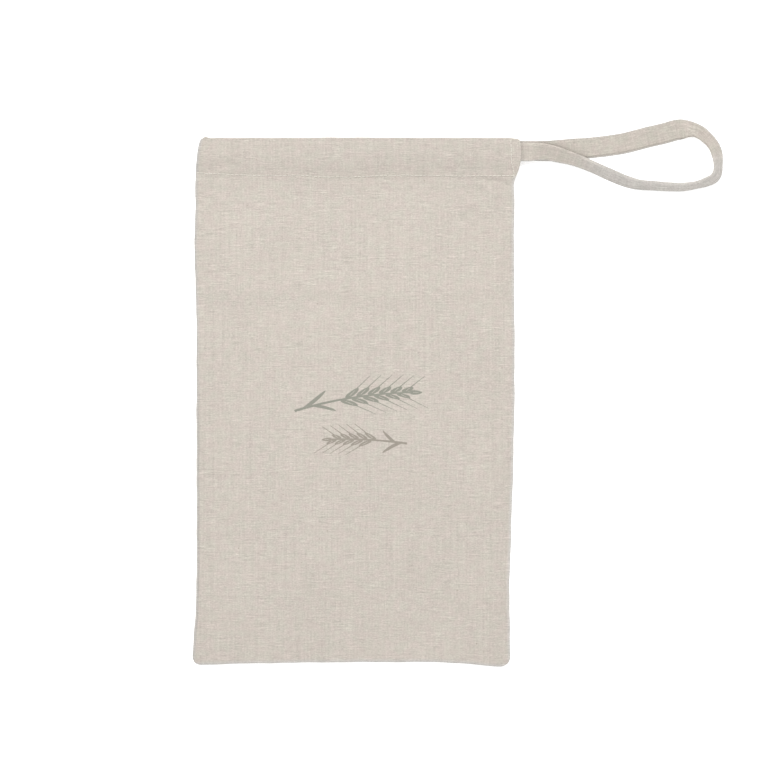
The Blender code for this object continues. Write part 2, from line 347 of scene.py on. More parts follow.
def creased(creases, x, y):
    """How far a set of creases lifts the cloth at each point."""
    lifted = np.zeros(np.broadcast(x, y).shape)
    for middle_x, middle_y, half_length, half_width, slant, rise in creases.tolist():
        c, s = math.cos(math.radians(slant)), math.sin(math.radians(slant))
        dx, dy = x - middle_x, y - middle_y
        along = (dx * c + dy * s) / half_length
        across = (dy * c - dx * s) / half_width
        wander = 0.35 * np.sin(6.0 * along + middle_x) + 0.18 * np.sin(13.0 * along + middle_y)
        uneven = 1.0 + 0.25 * np.sin(9.0 * along + middle_y)
        lifted = lifted + rise * uneven * np.exp(-(along**4) - (across + wander) ** 2)
    return lifted


def slack(x, y):
    """The slow, shallow unevenness of cloth that lies loose."""
    return (
        0.10 * np.sin(x / 17.0 + y / 31.0 + 0.4)
        + 0.08 * np.sin(x / 11.0 - y / 19.0 + 2.1)
        + 0.06 * np.sin(x / 6.5 + y / 43.0 + 4.0)
        + 0.05 * np.sin(y / 7.5 - x / 52.0)
    )


def front_relief(x, y):
    """How far the front's cloth stands off its plain shape."""
    left, right = edges_at(y)
    body = 1 - ramp(*BODY_END, y)
    left_turning = bell(10.0, 4.5, x - left) * 0.14
    right_turning = (1 - ramp(16.0, 19.5, right - x)) * 0.16 * (1 - ramp(20.0, 60.0, y))
    turnings = (left_turning + right_turning) * body
    crown = -0.05 * ((y - TAPE_LINE) / 8.5) ** 2 * ramp(*CASING_START, y)
    gathers = 0.13 * np.sin(x / 5.3 + 1.5 * np.sin(x / 37.0)) * bell(180.0, 9.0, y)
    groove = -0.05 * bell(row_at(x), 0.9, y)
    slit_row = -0.18 * bell(slit_row_x(y), 1.0, x) * ramp(177.0, 181.0, y)
    turned = 0.12 * ramp(-1.0, 1.0, x - slit_row_x(y)) * ramp(181.0, 185.0, y)
    loose = slack(x, y) * (0.5 + 0.5 * body)
    sewn = gathers + groove + slit_row + turned
    return creased(FRONT_CREASES, x, y) + turnings + crown + sewn + loose


def back_relief(x, y):
    """How far the back's cloth stands up off the table."""
    groove = 0.45 * bell(row_at(x), 2.4, y)
    loose = 0.4 * (slack(x, y) + 0.24) * (1 - ramp(*BODY_END, y))
    return creased(BACK_CREASES, x, y) + groove + loose


# The panels
# A panel is one sheet of cloth. Its columns run up the bag and its rows across it. From the left, a
# row comes out from the turning inside, round the edge, over the outside, and in again at the right.
# The rows climb the hem inside the mouth, go over the fold, down the outside and in at the foot.

TURNING_STEPS = 4
TURN_STEPS = 3
EDGE_STEPS = 8
LIP = TURNING_STEPS + TURN_STEPS
FOLD_STEPS = 9
FOLD_LINE = 208.5
TOP_EDGE = 210.1
INNER_INSETS = np.array([5.4, 7.2, 9.6, 13.0])
MIDDLE_COLUMNS = 129
CASING_FOOT = 168.0
FOOT_START = -190.0
FOOT_EDGE = -209.0
HEM_ROWS, CASING_ROWS, BODY_ROWS = 14, 60, 112
SHORT_TURNING = 1.6
CASING_TURNING = 2.6
RAW_EDGE_REACH = 4.6
SLIT_EDGE_REACH = 4.2
EDGE_SOFTNESS = 0.3
TURNING_HEIGHT = 0.3
TURN_RADIUS = 0.3


def turned_in(turning):
    """Insets from a turning's end round to the edge, and the angles that it turns through."""
    inward = np.linspace(turning, TURN_RADIUS * 1.5, TURNING_STEPS)
    angles = np.linspace(math.pi / 2, 0.0, TURN_STEPS, endpoint=False)
    return np.append(inward, TURN_RADIUS * (1 - np.cos(angles))), angles


def seamed_edge(height, turning, thickness):
    """Cross-section of a seamed edge, from the turning's end: insets, and heights from the seam."""
    insets, angles = turned_in(turning)
    rise = height - TURNING_HEIGHT - TURN_RADIUS
    upward = np.linspace(0.0, math.pi / 2, EDGE_STEPS + 1)
    insets = np.append(insets, (rise + EDGE_SOFTNESS) * (1 - np.cos(upward)))
    bend = TURNING_HEIGHT + TURN_RADIUS * (1 - np.sin(angles))
    outside = TURNING_HEIGHT + TURN_RADIUS + rise * np.sin(upward)
    return thickness / 2 + insets, np.concatenate([[TURNING_HEIGHT] * TURNING_STEPS, bend, outside])


def slit_edge(y, thickness):
    """Cross-section of the slit's turned edge at y: insets, and how far it lies under the cloth."""
    insets, under = turned_in(mix(3.0, 8.6, ramp(*SLIT_TURNING, y)))
    over = np.linspace(0.0, math.pi / 2, TURN_STEPS + 1)
    flat = np.linspace(TURN_RADIUS, SLIT_EDGE_REACH, EDGE_STEPS - TURN_STEPS + 1)[1:]
    insets = np.concatenate([insets, TURN_RADIUS * (1 - np.cos(over)), flat])
    drops = np.concatenate([[2.0] * TURNING_STEPS, 1 + np.sin(under), 1 - np.sin(over), 0.0 * flat])
    return thickness / 2 + insets, TURN_RADIUS * drops


def across(left_insets, right_insets, left, right):
    """Places across the bag of every column of a row."""
    middle = np.linspace(left + INNER_INSETS[-1], right - INNER_INSETS[-1], MIDDLE_COLUMNS + 2)
    left_block = left + np.concatenate([left_insets, INNER_INSETS[:-1]])
    right_block = right - np.concatenate([right_insets, INNER_INSETS[:-1]])[::-1]
    return np.concatenate([left_block, middle, right_block])


def full_row(left_part, right_part, between):
    """One value for every column, from the two edges' parts and one value between them."""
    count = 2 * len(INNER_INSETS) + MIDDLE_COLUMNS
    return np.concatenate([left_part, np.full(count, between), right_part[::-1]])


def on_outside(heights, height):
    """How fully each point belongs to the outside: 0 on a turning, and 1 at the outside's height."""
    return ramp(0.35, 1.0, heights / height)


def hem_row(y, cloth):
    """One row of the hem, as x, y, height from the seam and share on the outside."""
    height = (MOUTH_GAP + cloth.thickness) / 2
    raw_edge = np.linspace(0.0, RAW_EDGE_REACH, LIP + EDGE_STEPS + 1)
    slit_insets, drops = slit_edge(y, cloth.thickness)
    x = across(raw_edge, slit_insets, tape_turn_x(), edges_at(y)[1])
    return together(x, y, full_row(np.full(len(raw_edge), height), height + drops, height), 0.0)


def outer_row(y, cloth):
    """One row of the outside."""
    height = (stack_at(y) - cloth.thickness) / 2
    near_foot = ramp(FOOT_START + 2.0, FOOT_START + 20.0, y)
    turning = mix(SHORT_TURNING, cloth.turning, near_foot)
    in_casing = mix(turning, CASING_TURNING, ramp(172.0, 182.0, y))
    left_insets, left_heights = seamed_edge(height, in_casing, cloth.thickness)
    seam_insets, seam_heights = seamed_edge(height, turning, cloth.thickness)
    slit_insets, drops = slit_edge(y, cloth.thickness)
    slit = ramp(*SLIT, y)
    x = across(left_insets, mix(seam_insets, slit_insets, slit), *edges_at(y))
    heights = full_row(left_heights, mix(seam_heights, height - drops, slit), height)
    return together(x, y, heights, on_outside(heights, height))


def fold_rows(outer, hem):
    """The rows between the last hem row and the first outer row, round the fold at the top."""
    reach = np.maximum(np.abs(outer[:, 2] - hem[:, 2]) / 2, 0.5)
    rows = []
    for step in range(1, FOLD_STEPS):
        angle = math.pi * (1 - step / FOLD_STEPS)
        row = mix(hem, outer, (1 + math.cos(angle)) / 2)
        row[:, 1] += reach * math.sin(angle)
        rows.append(row)
    return rows


def round_corner(side, foot):
    """Moves a point near a corner of the foot onto its round contour. Both insets."""
    near, far = min(side, foot), max(side, foot)
    if far >= CORNER_RADIUS:
        return side, foot
    reach = CORNER_RADIUS - near
    angle = math.pi / 4 * (CORNER_RADIUS - far) / reach
    near = CORNER_RADIUS - reach * math.cos(angle)
    far = CORNER_RADIUS - reach * math.sin(angle)
    return (near, far) if side <= foot else (far, near)


def foot_rows(cloth):
    """The rows that go round the foot's edge and in again, with the two corners rounded."""
    height = (BODY_STACK - cloth.thickness) / 2
    insets, heights = seamed_edge(height, SHORT_TURNING, cloth.thickness)
    deep_insets, _ = seamed_edge(height, cloth.turning, cloth.thickness)
    lip = insets[LIP]
    places = [(inset, inset, None) for inset in INNER_INSETS]
    turned = [*heights[:LIP], *[None] * (EDGE_STEPS + 1)]
    places = list(zip(insets, deep_insets, turned)) + places
    rows = []
    for foot_inset, deep_inset, turning_height in places[::-1]:
        left, right = edges_at(FOOT_EDGE + min(foot_inset, INNER_INSETS[-1]))
        columns = across(insets, insets, left, right)
        row = []
        for column, place in enumerate(columns):
            edge, inward = (left, 1.0) if place < 0 else (right, -1.0)
            side_inset = abs(place - edge)
            from_end = min(column, len(columns) - 1 - column)
            side = lip if from_end < LIP else side_inset
            below = foot_inset if turning_height is None else lip
            level = float(np.interp(min(side, below), insets[LIP:], heights[LIP:]))
            side, below = round_corner(side, below)
            x = edge + inward * side
            y = foot_at(x) + below
            if from_end < LIP:
                x += inward * (side_inset - lip)
                level = heights[from_end]
            if turning_height is not None:
                free = ramp(14.0, 30.0, side_inset)
                y += mix(foot_inset, deep_inset, free) - lip
                level = turning_height
            row.append((x, y, level, on_outside(level, height)))
        rows.append(np.array(row))
    return rows


def panel_grid(cloth):
    """Every row of a panel, as one array of rows, columns and x, y, height, share on the outside."""
    hem = [hem_row(y, cloth) for y in np.linspace(HEM_END, FOLD_LINE, HEM_ROWS)]
    casing = np.linspace(FOLD_LINE, CASING_FOOT, CASING_ROWS)
    body = np.linspace(CASING_FOOT, FOOT_START, BODY_ROWS)[1:]
    outer = [outer_row(y, cloth) for y in np.append(casing, body)]
    return np.array(hem + fold_rows(outer[0], hem[-1]) + outer + foot_rows(cloth))


def cloth_places(grid):
    """Each point's place on the flat cloth: across, along, and its share on the outside."""
    rows, columns = grid.shape[:2]
    middle = columns // 2
    row = int(np.argmin(np.abs(grid[:, middle, 1]) + 1000.0 * (np.arange(rows) < rows // 3)))
    over, down = distances(grid[:, :, :3], axis=1), distances(grid[:, :, :3])
    u = over - over[:, [middle]] + grid[:, [middle], 0]
    v = grid[[row], :, 1] - (down - down[[row], :])
    return together(u, v, grid[:, :, 3])


def tape_turn_x():
    """Where the tape's turn has its middle, inside the casing's left end."""
    return through(SIDES["y"], SIDES["left"], TAPE_LINE + SOLID_TAPE_WIDTH / 2) + CASING_STACK / 2


def added(name, data):
    """A new object in the scene."""
    obj = bpy.data.objects.new(name, data)
    bpy.context.scene.collection.objects.link(obj)
    return obj


def mesh_object(name, vertices, faces, material, **fields):
    """A mesh object from points in millimetres, with a named vector at each point if given."""
    mesh = bpy.data.meshes.new(name)
    mesh.from_pydata((np.reshape(vertices, (-1, 3)) * MM).tolist(), [], faces)
    work = bmesh.new()
    work.from_mesh(mesh)
    bmesh.ops.recalc_face_normals(work, faces=work.faces)
    work.to_mesh(mesh)
    work.free()
    for field, vectors in fields.items():
        attribute = mesh.attributes.new(field, "FLOAT_VECTOR", "POINT")
        attribute.data.foreach_set("vector", np.asarray(vectors, dtype=np.float32).ravel())
    mesh.shade_smooth()
    mesh.materials.append(material)
    return added(name, mesh)


def panel_object(name, facing, cloth, material):
    """One panel. facing is 1 for the front, which lies above the seam, and -1 for the back."""
    x, y, height, outside = np.moveaxis(panel_grid(cloth), 2, 0)
    relief = front_relief(x, y) if facing > 0 else back_relief(x, y)
    z = stack_at(y) / 2 + facing * height + relief * outside
    corner = bell(tape_turn_x() + 0.5, 2.4, x) - 0.35 * bell(tape_turn_x() + 6.0, 3.0, x)
    # The casing's closed corner is pinched up, and its open end droops
    pinch = 0.9 * corner * ramp(203.0, MOUTH_LINE, y) * (1.0 if facing > 0 else 0.4)
    ripple = (0.12 * np.sin(x / 4.7) + 0.3 * bell(-8.0, 24.0, x)) * ramp(207.0, MOUTH_LINE, y)
    left, right = edges_at(y)
    inset = np.maximum(right - x, 0.0)
    dropped = 0.9 * (1 - ramp(0.0, 14.0, inset)) + 1.9 * np.maximum(1 - inset / 3.4, 0.0) ** 2
    drop = dropped * ramp(198.0, MOUTH_LINE, y) * (x > 0)
    placed = together(x, y + pinch + ripple - drop, z, outside)
    rows, columns = x.shape
    faces = []
    for row in range(rows - 1):
        for column in range(columns - 1):
            turned_column = column < LIP or column >= columns - 1 - LIP
            if row < rows - 1 - LIP or not turned_column:
                at = row * columns + column
                faces.append((at, at + 1, at + columns + 1, at + columns))
    fields = {
        "on_cloth": cloth_places(placed),
        "from_seams": together(x - left, right - x, y - row_at(x)),
        "from_ends": together(y - foot_at(x), TOP_EDGE - y, 0.0),
    }
    panel = mesh_object(name, placed[:, :, :3], faces, material, **fields)
    sheet = panel.modifiers.new("Cloth", "SOLIDIFY")
    sheet.thickness = cloth.thickness * MM
    sheet.offset = 0.0
    return panel


# The tape

CREASE_REACH = 1.6
TUCK_REACH = 0.8
SECTION_GAP = 1.3
TAPE_EDGE = 1.1
EDGE_POINTS, FACE_POINTS = 6, 45
RUN_SECTIONS, TURN_SECTIONS = 44, 15

# Stretches of the loop: by the mouth, where one run rests on the other, and where it swings aside
BY_MOUTH = (133.5, 135.0, 142.0, 150.0)
RESTING = (140.0, 154.0, 190.0, 200.0)
ASIDE = (170.0, 192.0, 268.0, 290.0)


class Section(NamedTuple):
    """A cut across the tape: its middle, the ways its width and face look, and how it is bent."""

    middle: np.ndarray
    width: np.ndarray
    face: np.ndarray
    tilt: float = 0.0
    fold: float = 0.0
    crease: float = 0.9

    def points(self, outline, half):
        """Where an outline's points come to lie."""
        over, up, _ = bent(outline, half, self.tilt, self.fold, self.crease)
        return self.middle + np.outer(over, self.width) + np.outer(up, self.face)

    def outward(self, outline, half):
        """Which way the tape's upper face looks at an outline's points."""
        slope = bent(outline, half, self.tilt, self.fold, self.crease)[2]
        return np.outer(-np.sin(slope), self.width) + np.outer(np.cos(slope), self.face)


def bent(outline, half, tilt, fold, crease):
    """An outline's points, over and up, and the slope there, once the strip is tilted and folded."""
    places = np.linspace(-half, half, 161)
    folded = ramp(crease * half - CREASE_REACH, crease * half + CREASE_REACH, places)
    tuck = (1 + 2 * crease) * half - 0.9
    folded = folded - ramp(tuck - TUCK_REACH, tuck + TUCK_REACH, places)
    slopes = tilt - fold * folded
    step = places[1] - places[0]
    over = step * (np.cumsum(np.cos(slopes)) - np.cos(slopes) / 2)
    up = step * (np.cumsum(np.sin(slopes)) - np.sin(slopes) / 2)
    over, up = over - np.interp(0.0, places, over), up - np.interp(0.0, places, up)
    a, b = np.asarray(outline).T
    slope = np.interp(a, places, slopes)
    over = np.interp(a, places, over) - b * np.sin(slope)
    up = np.interp(a, places, up) + b * np.cos(slope)
    return over, up, slope


def loop_sections(cloth):
    """Sections of the free loop, each with its lowest point at its lift."""
    along = distances(together(LOOP["x"], LOOP["y"]))
    places = np.linspace(0.0, along[-1], int(along[-1] / SECTION_GAP))
    x, y = (through(along, LOOP[column], places) for column in ("x", "y"))
    columns = ("tilt", "lift", "fold", "crease")
    tilt, lift, fold, crease = (through(along, LOOP[column], places, True) for column in columns)
    tilt = tilt + 1.2 * np.sin(places / 8.0) * np.sin(math.pi * places / along[-1])
    heading = np.unwrap(np.arctan2(np.gradient(y), np.gradient(x)))
    heading[0], heading[-1] = 0.0, math.pi
    outline = tape_outline(cloth)
    sections = []
    for index, turn in enumerate(heading):
        bend = (math.radians(tilt[index]), math.radians(fold[index]), crease[index])
        over, up, _ = bent(outline, cloth.tape_width / 2, *bend)
        width = np.array([-math.sin(turn), math.cos(turn), 0.0])
        middle = np.array([x[index], y[index], max(lift[index], 0.0) - up.min()])
        middle = middle - width * (over.min() + over.max()) / 2
        sections.append(Section(middle, width, np.array([0.0, 0.0, 1.0]), *bend))
    return sections


def casing_sections():
    """Sections along the back casing, round inside its left end, and back along the front one."""
    runs = np.linspace(TAPE_STRAIGHT_END, tape_turn_x() + 4.0, RUN_SECTIONS)
    turn = np.linspace(0.0, math.pi, TURN_SECTIONS)
    x = np.concatenate([runs, np.full(len(turn), tape_turn_x()), runs[::-1]])
    angles = np.concatenate([0.0 * runs, turn, 0.0 * runs + math.pi])
    faces = together(np.sin(angles), 0.0, np.cos(angles))
    middles = together(x, TAPE_LINE, CASING_STACK / 2) - TAPE_TURN_RADIUS * faces
    return [Section(middle, np.array([0.0, -1.0, 0.0]), face) for middle, face in zip(middles, faces)]


def tape_outline(cloth):
    """Points round one section of the tape: rounded at its edges and dented along its stitching."""
    half, soft = cloth.tape_width / 2, TAPE_EDGE
    edge = half - soft * np.sin(np.linspace(0.0, math.pi / 2, EDGE_POINTS, endpoint=False))
    a = np.concatenate([-edge, np.linspace(soft - half, half - soft, FACE_POINTS), edge[::-1]])
    beyond = np.clip((np.abs(a) - (half - soft)) / soft, 0.0, 1.0)
    b = cloth.tape_thickness / 2 * np.sqrt(1 - beyond**2 * 0.94)
    dent = 0.14 * bell(half - cloth.tape_row, 0.7, np.abs(a)) + 0.06 * (np.abs(a) < half - 3.0)
    b = b * (1 - dent)
    return np.concatenate([together(a, b), together(-a, -b)])


def painted_contact_shadow(points, folded_edge):
    """A painted contact shadow: how deep each point lies in the corner beside the run that rests on it, from
    0 to 1.
    """
    x, y, _ = points.T
    gap = y - np.interp(x, *folded_edge)
    corner = 0.65 * bell(0.0, 1.5, gap) + 0.35 * np.exp(-np.maximum(gap, 0.0) / 4.0)
    return corner * ramp(-1.5, -0.5, gap) * plateau(*RESTING, x)


def painted_edge_highlights(section, outline, half):
    """How strongly each point of a section gets a painted highlight where its edges round over, from 0 to 1.
    """
    over = bent(outline, half, section.tilt, section.fold, section.crease)[0]
    by_mouth = plateau(*BY_MOUTH, section.middle[0])
    inner = bell(over.max() - 2.0, 1.2, over) * (0.4 * by_mouth + 0.75 * plateau(*ASIDE, section.middle[0]))
    return inner + (0.2 + 0.3 * bell(over.min() + 1.4, 0.9, over)) * by_mouth


def joined(ring, beyond):
    """Faces from one ring of points to the next."""
    return zip(ring, ring[1:] + ring[:1], beyond[1:] + beyond[:1], beyond)


def tape_object(name, cloth, material):
    """The drawstring tape: one ring, joined with half a turn inside the casing. And its length."""
    loop = loop_sections(cloth)
    sections = loop + casing_sections()
    outline, half = tape_outline(cloth), cloth.tape_width / 2
    far_bend = int(np.argmax([section.middle[0] for section in loop]))
    front_run = [section.points(outline, half) for section in loop[:far_bend]]
    folded_edge = np.array([points[points[:, 1].argmax(), :2] for points in front_run])
    folded_edge = folded_edge[np.argsort(folded_edge[:, 0])].T
    run = distances([section.points([(0.0, 0.0)], half)[0] for section in sections])
    vertices, places, folds = [], [], []
    for index, (section, along) in enumerate(zip(sections, run)):
        points = section.points(outline, half)
        x, y, _ = section.middle
        # Painted light that each point carries: a painted grey shade over the folded run, a painted shadow
        # at the casing's mouth and beside the resting run, and painted highlights on the rounded edges
        painted_grey_shade = section.fold / math.pi * ramp(156.0, 200.0, x) * (1 - ramp(186.0, 204.0, y))
        # Painted shadow on the tape just outside the casing's mouth
        shaded = 0.9 * bell(edges_at(TAPE_LINE)[1] + 0.4, 0.75, points[:, 0])
        if far_bend < index < len(loop):
            shaded = painted_contact_shadow(points, folded_edge) + shaded
        rounded = painted_edge_highlights(section, outline, half) if index < far_bend else 0.0
        vertices.append(points)
        places.append(together(outline[:, 0], along, 0.0))
        folds.append(together(painted_grey_shade, shaded, rounded))
    count = len(outline)
    rings = np.arange(len(sections) * count).reshape(-1, count).tolist()
    rings.append(rings[0][count // 2 :] + rings[0][: count // 2])
    faces = [face for ring, beyond in zip(rings, rings[1:]) for face in joined(ring, beyond)]
    closing = float(np.linalg.norm(sections[-1].middle - sections[0].middle))
    return mesh_object(name, vertices, faces, material, on_cloth=places, folds=folds), run[-1] + closing


# Thread

THREAD_SIDES = 6
THREAD_STEPS = 7


def stitch_row(name, line, normals, cloth, material, seed):
    """A row of stitches along a line on the cloth, each one dipping in at both of its ends."""
    run = distances(line)
    chance = np.random.default_rng(seed)
    pitch = cloth.stitch + cloth.stitch_gap
    t = np.linspace(-1.0, 1.0, THREAD_STEPS)
    lift = cloth.thread * (0.9 - t**8)
    radius = cloth.thread * (1.0 - 0.35 * t**4)
    angles = 2 * math.pi * np.arange(THREAD_SIDES) / THREAD_SIDES
    vertices, faces, places = [], [], []
    for number in range(int(run[-1] / pitch)):
        start = number * pitch + chance.uniform(0.0, 0.25)
        length = cloth.stitch * chance.uniform(0.9, 1.06)
        aside, turn = chance.uniform(-0.09, 0.09), chance.uniform(-0.12, 0.12)
        along = start + length * (t + 1) / 2
        middle, normal = (
            together(*(np.interp(along, run, part) for part in np.transpose(ways)))
            for ways in (line, normals)
        )
        normal = unit(normal)
        side = np.cross(normal, unit(np.gradient(middle, axis=0)))
        middle = middle + normal * lift[:, None] + side * (aside + turn * t)[:, None]
        out = side[:, None] * np.cos(angles)[:, None] + normal[:, None] * np.sin(angles)[:, None]
        vertices.append(middle[:, None] + out * radius[:, None, None])
        places.append(together(angles, along[:, None], number))
        first = number * THREAD_STEPS * THREAD_SIDES
        rings = np.arange(first, first + THREAD_STEPS * THREAD_SIDES).reshape(THREAD_STEPS, -1).tolist()
        for ring, beyond in zip(rings, rings[1:]):
            faces.extend(joined(ring, beyond))
        faces.extend([rings[0][::-1], rings[-1]])
    return mesh_object(name, vertices, faces, material, on_cloth=places)


def outside_height(x, y, cloth, facing):
    """Height of a panel's outer surface."""
    left, right = edges_at(y)
    height = (stack_at(y) - cloth.thickness) / 2
    rise = height - TURNING_HEIGHT - TURN_RADIUS

    def seamed(inset):
        share = np.clip(1 - (inset - cloth.thickness / 2) / (rise + EDGE_SOFTNESS), 0.0, 1.0)
        return TURNING_HEIGHT + TURN_RADIUS + rise * np.sqrt(1 - share**2)

    level = np.minimum(seamed(x - left), mix(seamed(right - x), height, ramp(*SLIT, y)))
    relief = front_relief(x, y) if facing > 0 else back_relief(x, y)
    face = stack_at(y) / 2 + facing * (level + cloth.thickness / 2)
    return face + relief * on_outside(level, height)


def on_panel(x, y, cloth, facing):
    """A line of points on a panel's outside, and the outward directions there."""
    step = 0.4
    z = outside_height(x, y, cloth, facing)
    slope_x = (outside_height(x + step, y, cloth, facing) - z) / step
    slope_y = (outside_height(x, y + step, cloth, facing) - z) / step
    return together(x, y, z), unit(together(-slope_x, -slope_y, 1.0) * facing)


# Materials


def maths(operation, swapped=False):
    """A method that adds a Math node to the wire and what it is combined with."""

    def combined(self, *others):
        values = (*others, self) if swapped else (self, *others)
        return self.shader.node("ShaderNodeMath", {"operation": operation}, dict(enumerate(values)))

    return combined


class Wire:
    """A node's output in an expression: arithmetic on it adds Math nodes."""

    def __init__(self, shader, socket):
        self.shader = shader
        self.socket = socket

    __add__ = maths("ADD")
    __radd__ = maths("ADD", swapped=True)
    __sub__ = maths("SUBTRACT")
    __rsub__ = maths("SUBTRACT", swapped=True)
    __mul__ = maths("MULTIPLY")
    __rmul__ = maths("MULTIPLY", swapped=True)
    __truediv__ = maths("DIVIDE")
    __rtruediv__ = maths("DIVIDE", swapped=True)
    __pow__ = maths("POWER")
    __lt__ = maths("LESS_THAN")
    __gt__ = maths("GREATER_THAN")
    __abs__ = maths("ABSOLUTE")
    sine = maths("SINE")
    whole = maths("FLOOR")
    root = maths("SQRT")
    at_least = maths("MAXIMUM")
    at_most = maths("MINIMUM")

    def part(self, name):
        """Another output of the same node."""
        return Wire(self.shader, self.socket.node.outputs[name])

    def near(self, middle, reach):
        """1 at the middle, falling smoothly to 0 at the reach on both of its sides."""
        return 1 - abs(self - middle).between(0.0, reach)

    def between(self, low, high):
        """0 below low, 1 above high, and a smooth rise between them."""
        settings = {"interpolation_type": "SMOOTHSTEP"}
        inputs = {"Value": self, "From Min": low, "From Max": high}
        return self.shader.node("ShaderNodeMapRange", settings, inputs)


class Shader:
    """A material's nodes, added one at a time."""

    def __init__(self, name):
        self.material = bpy.data.materials.new(name)
        self.material.use_nodes = True
        self.tree = self.material.node_tree

    def node(self, kind, settings=None, inputs=None, output=0):
        """A node with its settings, then its sockets' values or links. Returns one output."""
        made = self.tree.nodes.new(kind)
        for name, value in (settings or {}).items():
            setattr(made, name, value)
        for name, value in (inputs or {}).items():
            self.plug(made.inputs[name], value)
        return Wire(self, made.outputs[output])

    def plug(self, socket, value):
        """Sets a socket, or links a wire to it."""
        if isinstance(value, Wire):
            self.tree.links.new(value.socket, socket)
        elif socket.type == "RGBA":
            socket.default_value = (*value, 1.0)
        else:
            socket.default_value = value

    def field(self, name):
        """The three parts of a vector that the mesh holds at each of its points."""
        where = self.node("ShaderNodeAttribute", {"attribute_name": name}, output="Vector")
        parts = self.node("ShaderNodeSeparateXYZ", inputs={"Vector": where})
        return parts, parts.part("Y"), parts.part("Z")

    def noise(self, x, y, z=0.0, detail=1.0, roughness=0.5):
        """Noise at a place, from 0 to 1."""
        place = self.node("ShaderNodeCombineXYZ", inputs={"X": x, "Y": y, "Z": z})
        inputs = {"Vector": place, "Scale": 1.0, "Detail": detail, "Roughness": roughness}
        return self.node("ShaderNodeTexNoise", {"noise_dimensions": "3D"}, inputs)

    def blend(self, share, a, b):
        """Colour a where share is 0 and b where it is 1."""
        return self.node("ShaderNodeMix", {"data_type": "RGBA"}, {0: share, 6: a, 7: b}, output=2)

    def lit(self, colour, factor):
        """A colour made lighter or darker."""
        return self.node("ShaderNodeVectorMath", {"operation": "SCALE"}, {0: colour, "Scale": factor})

    def bump(self, height, depth, strength):
        """Relief of a given depth, in metres."""
        inputs = {"Height": height, "Distance": depth, "Strength": strength}
        return self.node("ShaderNodeBump", inputs=inputs, output="Normal")

    def finish(self, colour, roughness, normal, constants):
        """Links the surface, and sets the sockets that are the same all over it."""
        surface = self.tree.nodes["Principled BSDF"]
        values = {"Base Color": colour, "Roughness": roughness, "Normal": normal, **constants}
        for name, value in values.items():
            self.plug(surface.inputs[name], value)
        return self.material


def plain_weave(shader, x, y, pitch):
    """A plain weave with threads of uneven width: its height, and the tones of its warp and its weft."""
    noise = shader.noise
    sway = noise(x / 21.0, y / 34.0, 3.0, detail=2.0) - 0.5
    swing = noise(x / 34.0, y / 21.0, 9.0, detail=2.0) - 0.5
    over = (x + sway * 2.6) / pitch
    along = (y + swing * 2.6) / pitch
    across_thread, along_thread = (over * math.pi).sine(), (along * math.pi).sine()
    crossing = across_thread * along_thread * 0.5
    height = (abs(across_thread) * 0.5 + crossing).at_least(abs(along_thread) * 0.5 - crossing)
    warp_tone = noise(over.whole() * 3.7, y / 19.0, 1.0, detail=2.0, roughness=0.7)
    weft_tone = noise(x / 7.0, along.whole() * 3.7, 5.0, detail=2.0, roughness=0.7)
    return height, warp_tone, weft_tone


TINGE = (0.012, -0.013, 0.001)


def linen_shades(shader, colour, scene, x, y):
    """Linen's colour at a place, its relief, its weave's height, and how light it is."""
    cloth, colours = scene.bread_bag_cloth, scene.bread_bag_colours
    noise = shader.noise
    height, warp_tone, weft_tone = plain_weave(shader, x, y, cloth.pitch / MM)
    weft_slub = weft_tone.between(0.60, 0.74)
    warp_slub = warp_tone.between(0.63, 0.76)
    threads = warp_tone * 0.45 + weft_tone * 0.55
    drift = noise(x / 60.0, y / 85.0, 2.0, detail=2.0)
    streak = noise(x / 1.5, y / 80.0, 7.0, detail=2.0)
    band = noise(x / 70.0, y / 1.3, 17.0)
    dash = noise(x / 10.0, y / 0.9, 13.0)
    glint = noise(x / 9.0, y / 0.75, 71.0, detail=0.0).between(0.66, 0.80)
    hatch = noise(x / 0.8, y / 8.0, 61.0)
    mood = noise(x / 16.0, y / 10.0, 51.0).between(0.38, 0.64)
    blotch = noise(x / 7.0, y / 5.0, 37.0)
    tinge = noise(x / 8.0, y / 8.0, 23.0).between(0.3, 0.7)
    speckle = noise(x / 1.8, y / 0.85, 4.0, detail=2.0, roughness=0.75)
    shade = (
        cloth.contrast * (0.8 * (threads - 0.5) + 2.2 * (speckle - 0.5))
        + cloth.contrast * (dash - 0.5) * (0.5 + mood * 1.15)
        + cloth.contrast * (hatch - 0.5) * (0.7 - mood * 0.5)
        + 0.17 * glint * (0.25 + mood * 0.75)
        + 0.06 * (blotch - 0.5)
        + 0.20 * (streak - 0.5)
        + 0.12 * (band - 0.5)
        + 0.07 * (drift - 0.5)
        + 0.08 * weft_slub
        + 0.05 * warp_slub
        + 0.12 * (height - 0.55)
        + 0.985
    )
    fleck_place = shader.node("ShaderNodeCombineXYZ", inputs={"X": x / 7.0, "Y": y / 10.0})
    flecks = shader.node("ShaderNodeTexVoronoi", inputs={"Vector": fleck_place, "Scale": 1.0})
    picked = shader.node("ShaderNodeSeparateColor", inputs={"Color": flecks.part("Color")})
    fleck = (1 - flecks.between(0.035, 0.085)) * (picked > 0.72) * 0.5
    warmth = noise(x / 30.0, y / 24.0, 11.0, detail=2.0)
    rosy, olive = (
        [value * (1 + sign * bias) for value, bias in zip(colour, TINGE)] for sign in (1, -1)
    )
    pale = shader.lit(shader.blend(tinge, rosy, olive), shade)
    warm = shader.blend((warmth - 0.35) * 0.5, pale, colours.warm)
    flecked = shader.blend(fleck, warm, colours.fleck)
    relief = height * 0.55 + weft_slub * 0.3 + warp_slub * 0.25 + threads * 0.35
    return flecked, relief, height, shade


# How far the ink thins out to either side of its edge, and how the grains lean, in radians
INK_EDGE = (-0.12, 0.12)
GRAIN_LEAN = 0.60


